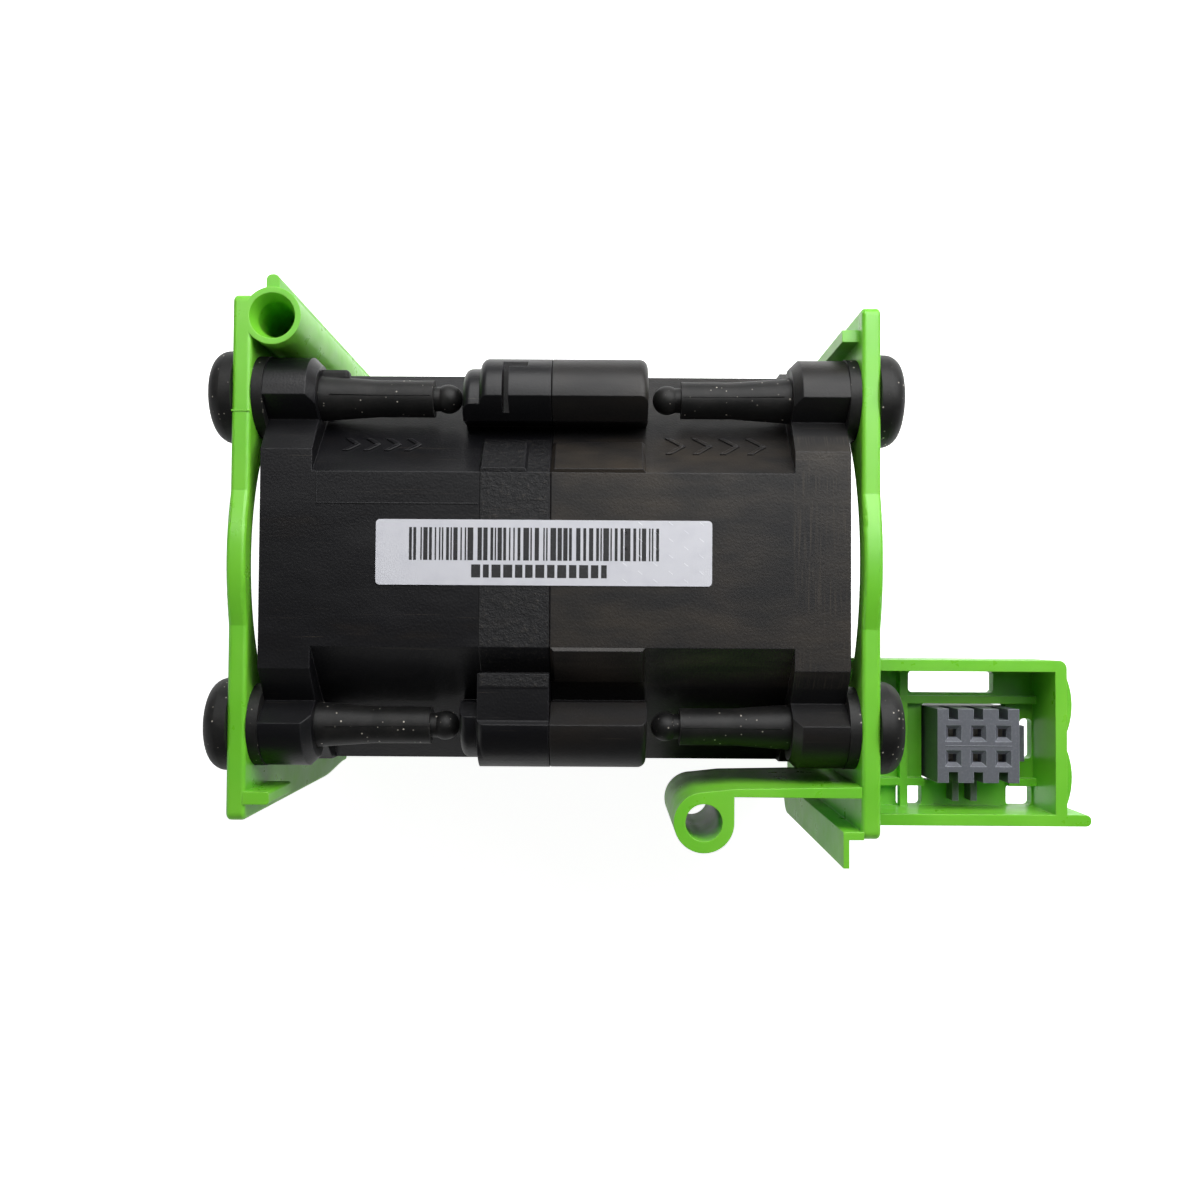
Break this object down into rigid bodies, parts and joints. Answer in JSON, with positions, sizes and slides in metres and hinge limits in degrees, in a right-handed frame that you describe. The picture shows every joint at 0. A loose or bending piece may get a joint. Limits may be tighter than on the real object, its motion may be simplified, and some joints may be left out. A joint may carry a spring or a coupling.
{
  "type": "server fan module",
  "caption": "Counter-rotating axial fan pair on rubber isolators in a moulded carrier with guide bores and a caged receptacle.",
  "frame": {"origin": "on the outer face of the carrier's bridge, which the module lies on, straight below the middle of the fan's length and below its axis", "axes": "+X is the airflow from inlet to outlet, +Z points from the bridge to the connector side, and +Y is towards the guide tube's side"},
  "size_m": [0.0869, 0.056, 0.0431],
  "materials": {
    "carrier_green": "gloss moulded",
    "housing_black": "satin moulded",
    "impeller_black": "satin moulded",
    "isolator_rubber": "matte",
    "connector_grey": "satin moulded",
    "contact_tin": "tin plated",
    "label_white": "satin",
    "rotor_steel": "zinc plated",
    "shaft_steel": "ground",
    "spring_steel": "bright wire",
    "magnet": "moulded ferrite",
    "bearing_steel": "ground",
    "tube_brass": "turned",
    "core_steel": "stacked sheets",
    "winding_copper": "enamelled wire",
    "board_green": "solder mask"
  },
  "bodies": {
    "module": {"carrier_inlet_wall": "carrier_green", "carrier_outlet_wall": "carrier_green", "carrier_guide_arm": "carrier_green", "carrier_bridge": "carrier_green", "carrier_connector_cage": "carrier_green", "connector_housing": "connector_grey", "contact_sockets": "contact_tin", "label": "label_white", "inlet_housing": "housing_black", "inlet_isolators": "isolator_rubber", "inlet_bearings": "bearing_steel", "inlet_bearing_tube": "tube_brass", "inlet_stator_core": "core_steel", "inlet_stator_coils": "winding_copper", "inlet_circuit_board": "board_green", "outlet_housing": "housing_black", "outlet_isolators": "isolator_rubber", "outlet_bearings": "bearing_steel", "outlet_bearing_tube": "tube_brass", "outlet_stator_core": "core_steel", "outlet_stator_coils": "winding_copper", "outlet_circuit_board": "board_green"},
    "inlet_rotor": {"inlet_impeller": "impeller_black", "inlet_rotor_cup": "rotor_steel", "inlet_magnet_ring": "magnet", "inlet_shaft": "shaft_steel", "inlet_retaining_clip": "spring_steel", "inlet_preload_spring": "spring_steel"},
    "outlet_rotor": {"outlet_impeller": "impeller_black", "outlet_rotor_cup": "rotor_steel", "outlet_magnet_ring": "magnet", "outlet_shaft": "shaft_steel", "outlet_retaining_clip": "spring_steel", "outlet_preload_spring": "spring_steel"}
  },
  "joints": [
    {"name": "inlet_rotor_spin", "type": "hinge", "parent": "module", "child": "inlet_rotor", "pos_m": [-0.0005, 0, 0.0221], "axis": [1, 0, 0], "continuous": true},
    {"name": "outlet_rotor_spin", "type": "hinge", "parent": "module", "child": "outlet_rotor", "pos_m": [-0.0005, 0, 0.0221], "axis": [1, 0, 0], "continuous": true}
  ]
}
